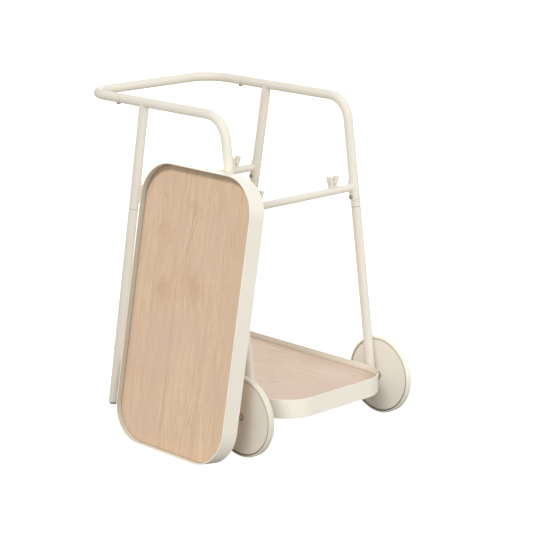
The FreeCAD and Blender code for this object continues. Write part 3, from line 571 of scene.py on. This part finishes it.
def weld_rods():
    """Beads round both ends of each rod behind the top tray."""
    beads = []
    away = LENGTHWISE.cross(LEAN_UP)
    for side, _ in SIDES:
        low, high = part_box("top_tray_" + side + "_rod")
        middle = (Vector(low) + Vector(high)) / 2
        half = ((high[2] - low[2]) / 2 - ROD_RADIUS * LEAN_UP.y) / LEAN_UP.z
        for end, sign in (("upper", 1), ("lower", -1)):
            centre = middle + LEAN_UP * sign * (half - BEAD_RADIUS / 2)
            spokes = [LENGTHWISE * math.cos(turn) + away * math.sin(turn) for turn in turns()]
            points = [centre + spoke * ROD_RADIUS for spoke in spokes]
            beads.append(weld_bead(side + "_rod_" + end + "_weld", "top_tray", points))
    return beads


leg_welds = weld_legs()
rod_welds = weld_rods()


def light_only(emitter, receivers):
    """Let an emitter's light reach the given objects alone."""
    group = bpy.data.collections.new(emitter.name + "_reach")
    for receiver in receivers:
        group.objects.link(receiver)
    emitter.light_linking.receiver_collection = group


def make_floor():
    """Pale floor under the cart, bright to look at, whose own glow lights nothing else."""
    bpy.ops.mesh.primitive_plane_add(size=FLOOR_SIZE, location=(0, 0, 0))
    floor = bpy.context.object
    floor.name = "studio_floor"
    graph = Graph("studio_floor")
    cloud = graph.noise(graph.place(), *FLOOR_CLOUD)
    dark, light = FLOOR_TONES
    graph.shade(Base_Color=graph.mix(cloud, srgb(*dark), srgb(*light)))
    graph.shade(Roughness=FLOOR_ROUGHNESS)
    graph.shade(Specular_IOR_Level=FLOOR_SPECULAR)
    graph.shade(Emission_Color=srgb(*FLOOR_GLOW_TONE))
    graph.shade(Emission_Strength=FLOOR_GLOW)
    floor.data.materials.append(graph.material)
    light_only(floor, [floor])


make_floor()


def lamp(name, kind, place, strength):
    """A lamp at a place, turned to the floor under the cart."""
    data = bpy.data.lights.new(name, kind)
    data.energy = strength
    light = bpy.data.objects.new(name, data)
    light.location = place
    light.rotation_mode = "QUATERNION"
    light.rotation_quaternion = (-place).to_track_quat("-Z", "Y")
    bpy.context.scene.collection.objects.link(light)
    return light


def soft_lamp(name, settings):
    """A broad round lamp turned to the cart."""
    place, size, power = settings
    light = lamp(name, "AREA", place, power)
    light.data.shape = "DISK"
    light.data.size = size
    return light


def sun_lamp(name, settings):
    """A distant lamp from the front, turned aside by its azimuth."""
    elevation, azimuth, angle, strength = settings
    towards = Vector((math.sin(azimuth) * math.cos(elevation),
                      -math.cos(azimuth) * math.cos(elevation),
                      math.sin(elevation)))
    light = lamp(name, "SUN", towards * SUN_DISTANCE, strength)
    light.data.angle = angle
    return light


def make_light():
    """Bright room, broad lamps all round, and two distant ones for the leaning tray."""
    world = bpy.data.worlds.new("studio")
    world.use_nodes = True
    background = world.node_tree.nodes["Background"]
    background.inputs["Color"].default_value = srgb(*ROOM_TONE)
    background.inputs["Strength"].default_value = ROOM_GLOW
    bpy.context.scene.world = world
    tray_names = frame["record"]["behaviour"]["bodies"]["top_tray"]
    tray = [nodes[name] for name in tray_names] + rod_welds
    others = [nodes[name] for name in nodes if name not in tray_names] + leg_welds
    soft_lamp("side", SIDE_LAMP)
    light_only(soft_lamp("tray_side", TRAY_SIDE_LAMP), tray + [nodes["lower_tray_panel"]])
    light_only(soft_lamp("overhead", OVERHEAD_LAMP), others)
    others.remove(nodes["lower_tray_panel"])
    far_wheel = [nodes["left_wheel_disc"], nodes["left_tyre"]]
    light_only(soft_lamp("front", FRONT_LAMP), [piece for piece in others if piece not in far_wheel])
    light_only(soft_lamp("wheel_front", WHEEL_LAMP), far_wheel)
    light_only(soft_lamp("back", BACK_LAMP), others + tray)
    light_only(soft_lamp("fill", FILL_LAMP), far_wheel + [nodes["lower_tray_rim"]])
    panel = nodes["top_tray_panel"]
    light_only(sun_lamp("panel_sun", PANEL_SUN), [panel])
    tray.remove(panel)
    light_only(sun_lamp("rim_sun", RIM_SUN), tray)


make_light()


def make_camera():
    """The camera at the photograph's viewing angle."""
    forward = Vector((-math.sin(CAMERA_YAW) * math.cos(CAMERA_PITCH),
                      math.cos(CAMERA_YAW) * math.cos(CAMERA_PITCH),
                      -math.sin(CAMERA_PITCH)))
    level_right = Vector((math.cos(CAMERA_YAW), math.sin(CAMERA_YAW), 0))
    level_up = level_right.cross(forward)
    right = level_right * math.cos(CAMERA_ROLL) + level_up * math.sin(CAMERA_ROLL)
    up = level_up * math.cos(CAMERA_ROLL) - level_right * math.sin(CAMERA_ROLL)
    data = bpy.data.cameras.new("camera")
    data.sensor_width = SENSOR_WIDTH
    data.lens = FOCAL_PIXELS * SENSOR_WIDTH / IMAGE_PIXELS
    camera = bpy.data.objects.new("camera", data)
    turn = Matrix((right, up, -forward)).transposed().to_4x4()
    camera.matrix_world = Matrix.Translation(cart_origin() + CAMERA_OFFSET) @ turn
    bpy.context.scene.collection.objects.link(camera)
    bpy.context.scene.camera = camera


make_camera()
bpy.context.scene.view_settings.view_transform = "Standard"
